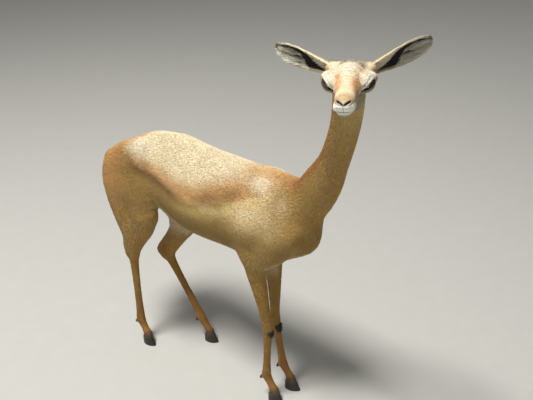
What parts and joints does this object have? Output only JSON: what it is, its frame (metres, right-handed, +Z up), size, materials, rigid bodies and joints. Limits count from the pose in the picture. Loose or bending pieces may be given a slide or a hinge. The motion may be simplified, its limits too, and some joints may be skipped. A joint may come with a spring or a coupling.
{
  "type": "gerenuk",
  "caption": "Life-size standing gerenuk, a slender long-necked hornless female antelope with her head turned to one side.",
  "frame": {"origin": "centre of the bounding box at its bottom, on the ground the hooves stand on", "axes": "+X from the rump towards the chest, +Y to the animal's left, +Z up"},
  "size_m": [1.2238, 0.5146, 1.3517],
  "materials": {
    "coat": "short smooth tawny hair, redder on the back, pale below",
    "ear": "thin haired ear, pale edge and dark inside",
    "eye": "wet dark brown",
    "horn": "smooth dark hoof horn"
  },
  "bodies": {
    "root": {"barrel": "coat", "chest": "coat", "ear_left": "ear", "ear_right": "ear", "eye_left": "eye", "eye_right": "eye", "forearm_left": "coat", "forearm_right": "coat", "forefoot_left": "coat", "forefoot_right": "coat", "foreshank_left": "coat", "foreshank_right": "coat", "gaskin_left": "coat", "gaskin_right": "coat", "head": "coat", "hindfoot_left": "coat", "hindfoot_right": "coat", "hindshank_left": "coat", "hindshank_right": "coat", "hoof_fore_left_inner": "horn", "hoof_fore_left_outer": "horn", "hoof_fore_right_inner": "horn", "hoof_fore_right_outer": "horn", "hoof_hind_left_inner": "horn", "hoof_hind_left_outer": "horn", "hoof_hind_right_inner": "horn", "hoof_hind_right_outer": "horn", "neck_lower": "coat", "neck_upper": "coat", "rump": "coat", "tail": "coat", "thigh_left": "coat", "thigh_right": "coat"}
  },
  "joints": []
}
